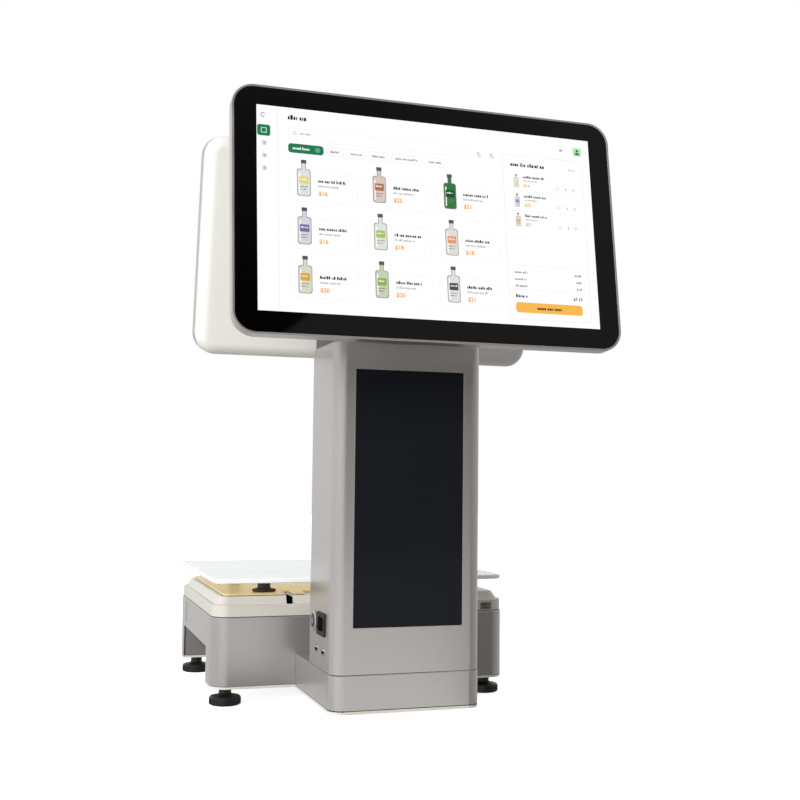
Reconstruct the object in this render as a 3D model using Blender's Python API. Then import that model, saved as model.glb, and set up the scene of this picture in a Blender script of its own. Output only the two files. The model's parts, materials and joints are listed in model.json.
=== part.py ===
import math

import bmesh
import bpy
from mathutils import Matrix, Vector

# Self checkout kiosk with two displays, a column, and a weighing scale with a glass pan.
# Metres, +Z up, +X to the customer's right, +Y from the customer's display towards the pan.
# Spans are measured from the column's front face (y = 0) and the pedestal's underside (z = 0).
# World coordinates put the origin under the middle of the whole kiosk, on the floor.

floor_drop = 0.018
gap = 0.0003

column = {
    "x": (-0.0782, 0.0782), "y": (0.0, 0.0915), "z": (0.0379, 0.3658),
    "wall": 0.0022, "deck": 0.003, "front_corner": 0.013, "soft": 0.0008,
    "cable_x": (-0.030, 0.030), "cable_y": (0.032, 0.060),
}
window = {"x": (-0.05735, 0.05735), "z": (0.0829, 0.3388), "flange": 0.0035, "back": 0.004}
vents = {"count": 7, "first": 0.300, "pitch": 0.006, "height": 0.0026, "y": (0.025, 0.067)}
pedestal = {
    "x": (-0.0788, 0.0788), "y": (-0.0006, 0.1529), "z": (0.0031, 0.0376),
    "wall": 0.0025, "corner": 0.0145, "plate": (0.0, 0.0028),
    "cable_x": (-0.040, 0.040), "cable_y": (0.022, 0.068),
}
base = {
    "x": (-0.1708, 0.1708), "y": (0.1533, 0.4180), "z": (0.0039, 0.0776),
    "wall": 0.003, "corner": 0.019, "arch_y": (0.197, 0.383), "arch_top": 0.042,
    "plate_z": (0.0009, 0.0036), "front_plate_y": (0.1533, 0.1985), "rear_plate_y": (0.3815, 0.4180),
    "recess_y": (0.266, 0.368), "recess_z": (0.049, 0.073), "recess": 0.001,
}
cover = {
    "x": (-0.1698, 0.1698), "y": (0.1543, 0.4170), "z": (0.0783, 0.0909), "corner": 0.018,
    "foot_x": (-0.1668, 0.1668), "foot_y": (0.159, 0.4125), "plateau_top": 0.0993,
    "slope": 0.006, "plateau_corner": 0.011, "wall": 0.0025, "soft": 0.0012,
    "slot_x": (-0.088, -0.080), "slot_y": (0.1565, 0.194),
}
chassis = {
    "x": (-0.1675, 0.1675), "y": (0.1566, 0.4147), "z": (0.043, 0.048), "corner": 0.0157,
    "block_x": (-0.075, -0.037), "block_z": (0.0475, 0.050),
}
cell = {"x": (-0.075, 0.075), "y": (0.270, 0.300), "z": (0.0503, 0.0723), "hole": 0.007, "reach": 0.009}
post = {"x": (0.037, 0.075), "y": (0.271, 0.299), "z": (0.0726, 0.0996), "clear": 0.003}
carrier = {
    "x": (-0.157, 0.121), "y": (0.166, 0.404), "z": (0.0999, 0.1019), "corner": 0.008,
    "notch_x": ((-0.066, -0.010), (0.010, 0.066)), "notch_y": (0.160, 0.191), "slot_clear": 0.0005,
}
pad = {"x": 0.108, "y": (0.190, 0.378), "bottom": 0.1022, "top": 0.1136, "skirt": 0.0136, "stem": 0.0072}
pan = {
    "x": (-0.169, 0.169), "y": (0.1544, 0.4374), "z": (0.1139, 0.1188),
    "corner": 0.014, "soft": 0.001,
}
foot = {
    "x": 0.152, "y": (0.175, 0.397), "stud": 0.004, "stud_top": 0.024, "seat": 0.0006,
    "collar": 0.007, "knob": 0.0175, "hole": 0.0045, "nut": 0.0075, "nut_bore": 0.0043,
    "nut_z": (0.0039, 0.0099),
}
prop = {"x": 0.0, "y": 0.140, "stud_top": 0.014, "collar": 0.007, "pad": 0.0088}
door = {
    "x": (-0.066, 0.066), "z": (0.140, 0.308), "clear": 0.0004, "axis_x": -0.070, "axis_y": 0.0953,
    "barrel": 0.0036, "bore": 0.0018, "pin": 0.0015, "pin_z": (0.148, 0.300),
    "fixed_z": ((0.150, 0.1797), (0.2683, 0.298)), "moving_z": (0.180, 0.268),
    "lug_y": 0.0945, "web_x": (-0.0654, -0.060), "web_y": 0.0925, "lug_root_x": -0.0750,
    "slot_x": (-0.043, 0.043), "slot_z": (0.2795, 0.2829),
}
latch = {"x": 0.054, "z": 0.224, "cap": 0.006, "hole": 0.0063, "flange": 0.0076}
printer = {
    "x": 0.058, "y": (0.012, 0.084), "z": (0.145, 0.303), "sheet": 0.0015,
    "tab_reach": 0.0757, "tab_z": ((0.155, 0.175), (0.272, 0.292)),
}
roll = {"y": 0.049, "z": 0.190, "radius": 0.033, "bore": 0.0126, "half": 0.040, "spindle": 0.012}
platen = {"y": 0.075, "z": 0.270, "radius": 0.007, "half": 0.045, "journal": 0.003, "hole": 0.0033}
head = {"x": (-0.046, 0.046), "y": (0.057, 0.0676), "z": (0.264, 0.276)}
board = {
    "x": (-0.044, 0.066), "y": (0.060, 0.0616), "z": (0.050, 0.132),
    "chip": ((-0.010, 0.016), (0.0612, 0.0665), (0.080, 0.106)),
    "connector": ((0.028, 0.060), (0.0520, 0.0604), (0.055, 0.068)),
}
supply = {"x": (-0.055, 0.055), "y": (0.072, 0.128), "z": (0.004, 0.030)}
button = {
    "y": 0.0725, "z": 0.083, "ring": 0.0105, "barrel": 0.0087, "bore": 0.0072, "cap": 0.0069, "hole": 0.009,
}
inlet = {
    "y": (0.0255, 0.0565), "z": (0.0715, 0.0945), "rim": 0.0021,
    "cavity_y": (0.030, 0.052), "cavity_z": (0.076, 0.090),
}
usb = {
    "y": (0.064, 0.0365), "z": 0.056, "width": 0.0138, "height": 0.0064,
    "mouth_width": 0.0122, "mouth_height": 0.0047,
}
neck = {
    "x": (-0.0765, 0.0765), "y": (0.002, 0.0895), "z": (0.3661, 0.400), "wall": 0.0024,
    "corner": 0.011, "soft": 0.006,
}
hinge = {
    "plate_x": (-0.052, 0.052), "plate_y": (0.006, 0.0855), "plate_z": (0.3666, 0.3706),
    "lug_x": (0.030, 0.036), "lug": 0.009, "axis_y": (0.016, 0.0755), "axis_z": 0.430,
    "pin": 0.004, "bore": 0.0043, "knuckle": 0.009, "pin_head": 0.0065, "web_half": 0.023,
    "web": 0.005, "slot_clear": 0.0006,
}
display = {
    "width": 0.3908, "lip": 0.00205, "corner": 0.022, "frame_depth": 0.012, "glass": 0.003,
    "proud": 0.0003, "lcd_inset": 0.0144, "lcd": (0.0033, 0.0117), "cover": (0.0123, 0.036),
    "cover_inset": 0.0003, "pillow": 0.013, "shell": 0.0024,
    "plate_x": (-0.050, 0.050), "plate": (0.0363, 0.0393), "plate_z": (-0.030, 0.060),
}
front_display = {"height": 0.2418, "tilt": math.radians(7.69), "centre_y": -0.06418, "centre_z": 0.4782}
rear_display = {"height": 0.2360, "tilt": math.radians(12.7), "centre_y": 0.1624, "centre_z": 0.4848}

front_reach = (
    front_display["centre_y"]
    - front_display["height"] / 2 * math.sin(front_display["tilt"])
    - display["proud"] * math.cos(front_display["tilt"])
)
origin_y = (front_reach + pan["y"][1]) / 2

for old in list(bpy.data.objects):
    bpy.data.objects.remove(old)

kiosk = bpy.data.collections.new("self_checkout_kiosk")
cutters = bpy.data.collections.new("cutters")
bpy.context.scene.collection.children.link(kiosk)
bpy.context.scene.collection.children.link(cutters)
cutters.hide_render = True


def middle(span):
    return (span[0] + span[1]) / 2


def grown(span, amount):
    return (span[0] - amount, span[1] + amount)


def block(
    x, y, z, corner=0.0, along="Z", corners="all", steps=5, soft=0.0, soft_side="+Z", soft_steps=2
):
    # A block between three spans, with its edges along one axis rounded, then one side's rim softened.
    size = Vector((x[1] - x[0], y[1] - y[0], z[1] - z[0]))
    solid = bmesh.new()
    bmesh.ops.create_cube(solid, size=1.0)
    bmesh.ops.scale(solid, vec=size, verts=solid.verts)
    axis = "XYZ".index(along)
    if corner:
        chosen = []
        for edge in solid.edges:
            run = edge.verts[0].co - edge.verts[1].co
            mid = (edge.verts[0].co + edge.verts[1].co) / 2
            wanted = corners == "all" or (corners == "front") == (mid.y < 0)
            if abs(run[axis]) > size[axis] / 2 and wanted:
                chosen.append(edge)
        bmesh.ops.bevel(
            solid, geom=chosen, offset=corner, segments=steps, profile=0.5, affect="EDGES",
            clamp_overlap=True)
    if soft:
        side = "XYZ".index(soft_side[1])
        level = size[side] / 2 * (1 if soft_side[0] == "+" else -1)
        rim = [e for e in solid.edges if all(abs(v.co[side] - level) < gap / 10 for v in e.verts)]
        bmesh.ops.bevel(
            solid, geom=rim, offset=soft, segments=soft_steps, profile=0.5, affect="EDGES",
            clamp_overlap=True)
    return solid, Vector((middle(x), middle(y), middle(z)))


def rod(radius, ends, centre, along="Z", steps=24):
    # A cylinder along one axis between two ends, centred on the other two coordinates.
    solid = bmesh.new()
    bmesh.ops.create_cone(
        solid, cap_ends=True, segments=steps, radius1=radius, radius2=radius, depth=ends[1] - ends[0])
    turn = {"X": Matrix.Rotation(math.pi / 2, 3, "Y"), "Y": Matrix.Rotation(math.pi / 2, 3, "X")}
    if along in turn:
        bmesh.ops.rotate(solid, cent=(0, 0, 0), matrix=turn[along], verts=solid.verts)
    place = list(centre)
    place.insert("XYZ".index(along), middle(ends))
    return solid, Vector(place)


def turned(profile, centre, along="Z", steps=24):
    # A lathe shape: radius and height pairs from the top of the axis to its bottom, spun about the axis.
    solid = bmesh.new()
    points = [solid.verts.new((radius, 0.0, height)) for radius, height in profile]
    edges = [solid.edges.new(pair) for pair in zip(points, points[1:])]
    bmesh.ops.spin(
        solid, geom=points + edges, cent=(0, 0, 0), axis=(0, 0, 1), dvec=(0, 0, 0),
        angle=math.tau, steps=steps, use_merge=True)
    bmesh.ops.remove_doubles(solid, verts=solid.verts, dist=gap / 10)
    bmesh.ops.recalc_face_normals(solid, faces=solid.faces)
    turn = {"X": Matrix.Rotation(math.pi / 2, 3, "Y"), "Y": Matrix.Rotation(-math.pi / 2, 3, "X")}
    if along in turn:
        bmesh.ops.rotate(solid, cent=(0, 0, 0), matrix=turn[along], verts=solid.verts)
    return solid, Vector(centre)


def tapered(x, y, z, corner, slope):
    # A block with rounded corners whose top face is smaller than its foot by the slope on every side.
    solid, centre = block(x, y, z, corner)
    width = x[1] - x[0]
    depth = y[1] - y[0]
    for vert in solid.verts:
        if vert.co.z > 0:
            vert.co.x *= (width - 2 * slope) / width
            vert.co.y *= (depth - 2 * slope) / depth
    return solid, centre


def settle(name, shape, group, parent, pivot):
    # Turns a shape into an object whose origin is at its pivot, or at the shape's own centre.
    solid, centre = shape
    mesh = bpy.data.meshes.new(name)
    origin = centre if pivot is None else Vector(pivot)
    bmesh.ops.translate(solid, vec=centre - origin, verts=solid.verts)
    solid.to_mesh(mesh)
    solid.free()
    mesh.shade_smooth()
    mesh.set_sharp_from_angle(angle=math.radians(32))
    item = bpy.data.objects.new(name, mesh)
    group.objects.link(item)
    item.location = origin
    if parent is None:
        item.location = origin + Vector((0.0, -origin_y, floor_drop))
    else:
        item.parent = parent
    return item


def part(name, shape, colour, metallic=0.0, roughness=0.5, parent=None, pivot=None):
    item = settle(name, shape, kiosk, parent, pivot)
    surface = bpy.data.materials.new(name)
    surface.use_nodes = True
    shader = surface.node_tree.nodes["Principled BSDF"]
    shader.inputs["Base Color"].default_value = (*colour, 1.0)
    shader.inputs["Metallic"].default_value = metallic
    shader.inputs["Roughness"].default_value = roughness
    item.data.materials.append(surface)
    return item


def combine(item, shape, operation):
    tool = settle(item.name + "_tool", shape, cutters, item.parent, None)
    tool.display_type = "WIRE"
    tool.hide_render = True
    step = item.modifiers.new(operation.lower(), "BOOLEAN")
    step.operation = operation
    step.solver = "EXACT"
    step.object = tool


def cut(item, shape):
    combine(item, shape, "DIFFERENCE")


def weld(item, shape):
    combine(item, shape, "UNION")


silver = (0.60, 0.59, 0.56)
pale = (0.82, 0.82, 0.80)
slate = (0.075, 0.073, 0.090)
black = (0.008, 0.008, 0.010)
steel = (0.45, 0.45, 0.46)
zinc_gold = (0.72, 0.50, 0.22)

# Scale base: housing open underneath, with an arch through both sides.
housing = part("scale_housing", block(
    base["x"], base["y"], base["z"], base["corner"], soft=0.0006), silver)
cut(housing, block(
    grown(base["x"], -base["wall"]), grown(base["y"], -base["wall"]),
    (-base["wall"], base["z"][1] - base["wall"]), base["corner"] - base["wall"]))
cut(housing, block(grown(base["x"], 0.01), base["arch_y"], (-0.01, base["arch_top"])))
for side in base["x"]:
    cut(housing, block(
        (side - base["recess"], side + base["recess"]), base["recess_y"], base["recess_z"]))
cut(housing, block(
    grown(post["x"], post["clear"]), grown(post["y"], post["clear"]), (0.06, 0.09)))

for name, span, end in (
    ("bottom_plate_front", base["front_plate_y"], "front"),
    ("bottom_plate_rear", base["rear_plate_y"], "rear"),
):
    plate = part(name, block(
        base["x"], span, base["plate_z"], base["corner"], corners=end), pale)
    for x in (-foot["x"], foot["x"]):
        y = foot["y"][0] if end == "front" else foot["y"][1]
        cut(plate, rod(foot["hole"], (-0.01, 0.01), (x, y)))

frame_plate = part("scale_chassis", block(
    chassis["x"], chassis["y"], chassis["z"], chassis["corner"]), steel, 0.9, 0.4)
weld(frame_plate, block(chassis["block_x"], cell["y"], chassis["block_z"]))

load_cell = part("load_cell", block(
    cell["x"], cell["y"], cell["z"], 0.001, along="Y", steps=1), (0.80, 0.81, 0.82), 1.0, 0.35)
cell_z = middle(cell["z"])
for x in (-cell["reach"], cell["reach"]):
    cut(load_cell, rod(cell["hole"], grown(cell["y"], 0.01), (x, cell_z), "Y"))
cut(load_cell, block(
    (-cell["reach"], cell["reach"]), grown(cell["y"], 0.01), (cell_z - 0.002, cell_z + 0.002)))
part("support_post", block(post["x"], post["y"], post["z"]), (0.80, 0.81, 0.82), 1.0, 0.35)

# Top cover: a band that sits on the housing, and a plateau with sloped sides.
lid = part("scale_cover", block(
    cover["x"], cover["y"], cover["z"], cover["corner"], soft=cover["soft"]), silver)
weld(lid, tapered(
    cover["foot_x"], cover["foot_y"], (cover["z"][1] - 0.002, cover["plateau_top"]),
    cover["plateau_corner"], cover["slope"]))
cut(lid, block(
    grown(cover["x"], -cover["wall"]), grown(cover["y"], -cover["wall"]),
    (0.07, cover["z"][1] - cover["wall"]), cover["corner"] - cover["wall"]))
cut(lid, block(
    grown(cover["foot_x"], -0.009), grown(cover["foot_y"], -0.009),
    (0.07, cover["plateau_top"] - cover["wall"]), cover["plateau_corner"] / 2))
cut(lid, block(cover["slot_x"], cover["slot_y"], (0.07, 0.11)))
cut(lid, block(
    grown(post["x"], post["clear"]), grown(post["y"], post["clear"]), (0.07, 0.11)))

support = part("pan_support", block(
    carrier["x"], carrier["y"], carrier["z"], carrier["corner"]), zinc_gold, 0.8, 0.3)
for notch in carrier["notch_x"]:
    cut(support, block(notch, carrier["notch_y"], (0.09, 0.11), 0.008, corners="rear"))
cut(support, block(
    grown(cover["slot_x"], carrier["slot_clear"]), grown(cover["slot_y"], carrier["slot_clear"]),
    (0.09, 0.11)))

for name, x, y in (
    ("pan_pad_front_left", -pad["x"], pad["y"][0]),
    ("pan_pad_front_right", pad["x"], pad["y"][0]),
    ("pan_pad_rear_left", -pad["x"], pad["y"][1]),
    ("pan_pad_rear_right", pad["x"], pad["y"][1]),
):
    part(name, turned((
        (0.0, pad["top"] - pad["bottom"]),
        (pad["stem"] - 0.0006, pad["top"] - pad["bottom"]),
        (pad["stem"], pad["top"] - pad["bottom"] - 0.0006),
        (pad["stem"], 0.0036),
        (pad["skirt"] - 0.001, 0.0022),
        (pad["skirt"], 0.0014),
        (pad["skirt"] - 0.0015, 0.0),
        (0.0, 0.0),
    ), (x, y, pad["bottom"])), (0.045, 0.035, 0.030), 0.0, 0.8)

part("glass_pan", block(
    pan["x"], pan["y"], pan["z"], pan["corner"], soft=pan["soft"], soft_steps=1),
    (0.90, 0.93, 0.94), 0.0, 0.1)

# Levelling feet: a stud through the bottom plate and a welded nut, a collar, and a broad knob.
foot_profile = (
    (0.0, foot["stud_top"]),
    (foot["stud"], foot["stud_top"]),
    (foot["stud"], foot["seat"]),
    (foot["collar"], foot["seat"]),
    (foot["collar"], -0.0056),
    (0.0095, -0.0074),
    (0.0162, -0.0087),
    (foot["knob"], -0.0098),
    (foot["knob"], -0.0170),
    (foot["knob"] - 0.002, -floor_drop),
    (0.0, -floor_drop),
)
for name, x, y in (
    ("front_left", -foot["x"], foot["y"][0]),
    ("front_right", foot["x"], foot["y"][0]),
    ("rear_left", -foot["x"], foot["y"][1]),
    ("rear_right", foot["x"], foot["y"][1]),
):
    part("foot_" + name, turned(foot_profile, (x, y, 0.0)), (0.02, 0.02, 0.022), 0.0, 0.6)
    nut = part("foot_nut_" + name, rod(foot["nut"], foot["nut_z"], (x, y), steps=6), steel, 0.9, 0.4)
    cut(nut, rod(foot["nut_bore"], (0.0, 0.02), (x, y)))
part("foot_centre", turned((
    (0.0, prop["stud_top"]),
    (foot["stud"], prop["stud_top"]),
    (foot["stud"], -gap),
    (prop["collar"], -gap),
    (prop["collar"], -0.0085),
    (prop["pad"], -0.0098),
    (prop["pad"], -0.0170),
    (prop["pad"] - 0.001, -floor_drop),
    (0.0, -floor_drop),
), (prop["x"], prop["y"], 0.0)), (0.02, 0.02, 0.022), 0.0, 0.6)

# Pedestal under the column, joined to the front of the scale.
foot_case = part("pedestal_cover", block(
    pedestal["x"], pedestal["y"], pedestal["z"], pedestal["corner"], corners="front", soft=0.001), silver)
cut(foot_case, block(
    grown(pedestal["x"], -pedestal["wall"]),
    (pedestal["y"][0] + pedestal["wall"], pedestal["y"][1] + 0.01),
    (-0.01, pedestal["z"][1] - pedestal["wall"]),
    pedestal["corner"] - pedestal["wall"], corners="front"))
cut(foot_case, block(pedestal["cable_x"], pedestal["cable_y"], (0.03, 0.05)))
plate = part("pedestal_plate", block(
    pedestal["x"], pedestal["y"], pedestal["plate"], pedestal["corner"], corners="front"), pale)
cut(plate, rod(foot["hole"], (-0.01, 0.01), (prop["x"], prop["y"])))
part("power_supply", block(supply["x"], supply["y"], supply["z"], 0.002, steps=1), steel, 0.8, 0.4)

# Column: a hollow shell with a glass window in front and a service door behind.
shell = part("column_shell", block(
    column["x"], column["y"], column["z"], column["front_corner"], corners="front", steps=7,
    soft=column["soft"], soft_steps=1), silver)
cut(shell, block(
    grown(column["x"], -column["wall"]), grown(column["y"], -column["wall"]),
    (0.02, column["z"][1] - column["deck"]),
    column["front_corner"] - column["wall"], corners="front", steps=7))
cut(shell, block(grown(window["x"], gap), (-0.01, 0.01), grown(window["z"], gap)))
cut(shell, block(door["x"], (0.085, 0.095), door["z"]))
cut(shell, block(column["cable_x"], column["cable_y"], (0.355, 0.375)))
shell_rear = column["y"][1]
for span in door["fixed_z"]:
    weld(shell, block((door["lug_root_x"], door["axis_x"]), (shell_rear - 0.0005, door["lug_y"]), span))
    weld(shell, rod(door["barrel"], span, (door["axis_x"], door["axis_y"])))
cut(shell, rod(door["bore"], door["z"], (door["axis_x"], door["axis_y"]), steps=16))
side_hole = (column["x"][0] - 0.01, column["x"][0] + 0.01)
cut(shell, rod(button["hole"], side_hole, (button["y"], button["z"]), "X"))
cut(shell, block(
    side_hole, grown(inlet["y"], gap - inlet["rim"]), grown(inlet["z"], gap - inlet["rim"])))
for y in usb["y"]:
    cut(shell, block(
        side_hole,
        (y - usb["width"] / 2 - gap, y + usb["width"] / 2 + gap),
        (usb["z"] - usb["height"] / 2 - gap, usb["z"] + usb["height"] / 2 + gap)))
for row in range(vents["count"]):
    low = vents["first"] + row * vents["pitch"]
    cut(shell, block((0.07, 0.09), vents["y"], (low, low + vents["height"])))

panel = part("column_glass", block(
    window["x"], (0.00015, 0.0032), window["z"]), black, 0.0, 0.08)
weld(panel, block(
    grown(window["x"], window["flange"]), (column["wall"] + gap, window["back"]),
    grown(window["z"], window["flange"])))

door_z = grown(door["z"], -door["clear"])
hinge_line = (door["axis_x"], door["axis_y"], middle(door["z"]))
flap = part("service_door", block(
    grown(door["x"], -door["clear"]), (shell_rear - column["wall"], shell_rear), door_z,
    0.002, along="Y", steps=2), silver, pivot=hinge_line)
weld(flap, block(door["web_x"], (shell_rear - 0.0005, door["web_y"]), door["moving_z"]))
weld(flap, block(
    (door["axis_x"], door["web_x"][1]), (shell_rear + gap, door["lug_y"]), door["moving_z"]))
weld(flap, rod(door["barrel"], door["moving_z"], (door["axis_x"], door["axis_y"])))
cut(flap, rod(
    door["bore"], grown(door["moving_z"], 0.01), (door["axis_x"], door["axis_y"]), steps=16))
cut(flap, block(door["slot_x"], (0.08, 0.10), door["slot_z"]))
cut(flap, rod(latch["hole"], (0.08, 0.10), (latch["x"], latch["z"]), "Y"))
part("door_pin", rod(
    door["pin"], door["pin_z"], (door["axis_x"], door["axis_y"]), steps=12), steel, 0.9, 0.3)
part("door_latch", turned((
    (0.0, 0.0025),
    (latch["cap"] - 0.0005, 0.0025),
    (latch["cap"], 0.0020),
    (latch["cap"], -0.0026),
    (latch["flange"], -0.0026),
    (latch["flange"], -0.0050),
    (0.0, -0.0050),
), (latch["x"], shell_rear, latch["z"]), "Y"), slate)

# Label printer behind the door.
sheet = printer["sheet"]
bracket = part("printer_frame", block(
    (-printer["x"], printer["x"]), (printer["y"][0], printer["y"][0] + sheet), printer["z"]),
    steel, 0.9, 0.4)
for side in (-1, 1):
    outer = side * printer["x"]
    inner = side * (printer["x"] - sheet)
    weld(bracket, block((min(outer, inner), max(outer, inner)), printer["y"], printer["z"]))
    reach = side * printer["tab_reach"]
    for span in printer["tab_z"]:
        weld(bracket, block(
            (min(reach, inner), max(reach, inner)), (printer["y"][0], printer["y"][0] + sheet), span))
cut(bracket, rod(platen["hole"], (-0.07, 0.07), (platen["y"], platen["z"]), "X"))
inside = printer["x"] - sheet - gap
part("roll_spindle", rod(
    roll["spindle"], (-inside, inside), (roll["y"], roll["z"]), "X", 32), (0.1, 0.1, 0.1))
paper = part("paper_roll", rod(
    roll["radius"], (-roll["half"], roll["half"]), (roll["y"], roll["z"]), "X", 40),
    (0.85, 0.84, 0.80), 0.0, 0.9)
cut(paper, rod(roll["bore"], (-0.05, 0.05), (roll["y"], roll["z"]), "X", 40))
journal_end = printer["x"] + 0.0015
part("platen_roller", turned((
    (0.0, journal_end),
    (platen["journal"], journal_end),
    (platen["journal"], platen["half"]),
    (platen["radius"], platen["half"]),
    (platen["radius"], -platen["half"]),
    (platen["journal"], -platen["half"]),
    (platen["journal"], -journal_end),
    (0.0, -journal_end),
), (0.0, platen["y"], platen["z"]), "X"), black, 0.0, 0.8)
part("print_head", block(head["x"], head["y"], head["z"]), (0.80, 0.81, 0.82), 1.0, 0.35)

# Electronics and the sockets on the column's left side.
mainboard = part("main_board", block(board["x"], board["y"], board["z"]), (0.02, 0.16, 0.07), 0.0, 0.5)
weld(mainboard, block(*board["chip"]))
weld(mainboard, block(*board["connector"]))
left = column["x"][0]
ring = part("button_ring", turned((
    (0.0, left + 0.0202),
    (button["barrel"], left + 0.0202),
    (button["barrel"], left - gap),
    (button["ring"], left - gap),
    (button["ring"], left - 0.0012),
    (button["ring"] - 0.0006, left - 0.0018),
    (0.0, left - 0.0018),
), (0.0, button["y"], button["z"]), "X"), (0.75, 0.75, 0.76), 1.0, 0.2)
cut(ring, rod(button["bore"], (left - 0.01, left + 0.0162), (button["y"], button["z"]), "X"))
part("power_button", turned((
    (0.0, left + 0.0122),
    (button["cap"], left + 0.0122),
    (button["cap"], left - 0.0018),
    (button["cap"] - 0.0006, left - 0.0024),
    (0.0, left - 0.0024),
), (0.0, button["y"], button["z"]), "X"), (0.10, 0.10, 0.11), 0.6, 0.3)
socket = part("power_inlet", block(
    (left - 0.0017, left - gap), inlet["y"], inlet["z"], 0.002, along="X", steps=2), black, 0.0, 0.5)
weld(socket, block(
    (left - 0.0010, left + 0.0242), grown(inlet["y"], -inlet["rim"]), grown(inlet["z"], -inlet["rim"])))
cut(socket, block(
    (left - 0.01, left + 0.0162), inlet["cavity_y"], inlet["cavity_z"], 0.003, along="X", steps=2))
for name, y in (("usb_socket_rear", usb["y"][0]), ("usb_socket_front", usb["y"][1])):
    port = part(name, block(
        (left, left + 0.0162),
        (y - usb["width"] / 2, y + usb["width"] / 2),
        (usb["z"] - usb["height"] / 2, usb["z"] + usb["height"] / 2)), (0.72, 0.72, 0.73), 1.0, 0.3)
    cut(port, block(
        (left - 0.01, left + 0.0122),
        (y - usb["mouth_width"] / 2, y + usb["mouth_width"] / 2),
        (usb["z"] - usb["mouth_height"] / 2, usb["z"] + usb["mouth_height"] / 2)))

# Neck: a dark case over the steel hinge base that carries both displays.
collar = part("neck_cover", block(
    neck["x"], neck["y"], neck["z"], neck["corner"], corners="front", soft=neck["soft"], soft_steps=3), slate)
cut(collar, block(
    grown(neck["x"], -neck["wall"]), grown(neck["y"], -neck["wall"]),
    (0.36, neck["z"][1] - neck["wall"]), neck["corner"] - neck["wall"], corners="front",
    soft=neck["soft"] - neck["wall"], soft_steps=3))
hinge_base = part("hinge_base", block(
    hinge["plate_x"], hinge["plate_y"], hinge["plate_z"]), steel, 0.9, 0.4)
for axis_y in hinge["axis_y"]:
    for side in (-1, 1):
        lug = (side * hinge["lug_x"][0], side * hinge["lug_x"][1])
        lug = (min(lug), max(lug))
        lug_y = (axis_y - hinge["lug"], axis_y + hinge["lug"])
        weld(hinge_base, block(lug, lug_y, (hinge["plate_z"][0] + 0.001, hinge["axis_z"])))
        weld(hinge_base, rod(hinge["lug"], lug, (axis_y, hinge["axis_z"]), "X"))
        cut(collar, block(
            grown(lug, hinge["slot_clear"]), grown(lug_y, hinge["slot_clear"]), (0.39, 0.41)))
    cut(hinge_base, rod(hinge["bore"], (-0.05, 0.05), (axis_y, hinge["axis_z"]), "X"))
lug_end = hinge["lug_x"][1]
for name, axis_y in (("front_hinge_pin", hinge["axis_y"][0]), ("rear_hinge_pin", hinge["axis_y"][1])):
    part(name, turned((
        (0.0, lug_end + 0.005),
        (hinge["pin"], lug_end + 0.005),
        (hinge["pin"], -lug_end - gap),
        (hinge["pin_head"], -lug_end - gap),
        (hinge["pin_head"], -lug_end - 0.004),
        (0.0, -lug_end - 0.004),
    ), (0.0, axis_y, hinge["axis_z"]), "X"), (0.60, 0.60, 0.61), 1.0, 0.25)


def build_display(label, data, axis_y, facing):
    # Everything that tilts on one hinge, drawn facing -Y from the glass's outer face, then leant back
    # and turned to its side.
    tilt = data["tilt"]
    away = (axis_y - data["centre_y"]) * -facing
    rise = hinge["axis_z"] - data["centre_z"]
    depth = away * math.cos(tilt) - rise * math.sin(tilt)
    height = away * math.sin(tilt) + rise * math.cos(tilt)
    axle = bpy.data.objects.new(label + "_axis", None)
    kiosk.objects.link(axle)
    axle.location = (0.0, axis_y - origin_y, hinge["axis_z"] + floor_drop)
    axle.rotation_euler = (-tilt, 0.0, 0.0 if facing < 0 else math.pi)
    half_width = display["width"] / 2
    half_height = data["height"] / 2

    def slab(inset, span, corner, **rounding):
        return block(
            (inset - half_width, half_width - inset),
            (span[0] - depth, span[1] - depth),
            (inset - half_height - height, half_height - inset - height),
            corner, along="Y", steps=7, **rounding)

    glass_inset = display["lip"] + gap
    frame = part(label + "_frame", slab(
        0.0, (-display["proud"], display["frame_depth"]), display["corner"]),
        (0.80, 0.78, 0.68), 0.7, 0.35, axle, (0, 0, 0))
    cut(frame, slab(
        display["lip"], (-0.01, display["frame_depth"] + 0.01), display["corner"] - display["lip"]))
    part(label + "_glass", slab(
        glass_inset, (0.0, display["glass"]), display["corner"] - glass_inset),
        black, 0.0, 0.05, axle, (0, 0, 0))
    part(label + "_lcd", slab(
        display["lcd_inset"], display["lcd"], 0.0), steel, 0.8, 0.4, axle, (0, 0, 0))
    inset = display["cover_inset"]
    shell_wall = display["shell"]
    back = part(label + "_back_cover", slab(
        inset, display["cover"], display["corner"] - inset,
        soft=display["pillow"], soft_side="+Y", soft_steps=5), pale, 0.0, 0.5, axle, (0, 0, 0))
    cut(back, slab(
        inset + shell_wall, (display["cover"][0] - 0.01, display["cover"][1] - shell_wall),
        display["corner"] - inset - shell_wall,
        soft=display["pillow"] - shell_wall, soft_side="+Y", soft_steps=5))
    arm = part(label + "_arm", block(
        display["plate_x"], (display["plate"][0] - depth, display["plate"][1] - depth),
        display["plate_z"], 0.006, along="Y", steps=2), steel, 0.9, 0.4, axle, (0, 0, 0))
    web = hinge["web"]
    weld(arm, block(
        (-hinge["web_half"], hinge["web_half"]), (display["plate"][1] - 0.001 - depth, 0.0), (-web, web)))
    knuckle_end = hinge["lug_x"][0] - gap
    weld(arm, rod(hinge["knuckle"], (-knuckle_end, knuckle_end), (0.0, 0.0), "X"))
    cut(arm, rod(hinge["bore"], (-0.05, 0.05), (0.0, 0.0), "X"))


build_display("front_display", front_display, hinge["axis_y"][0], -1)
build_display("rear_display", rear_display, hinge["axis_y"][1], 1)
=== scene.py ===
import json
import math
import random

import bmesh
import bpy
from mathutils import Matrix, Vector


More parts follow.
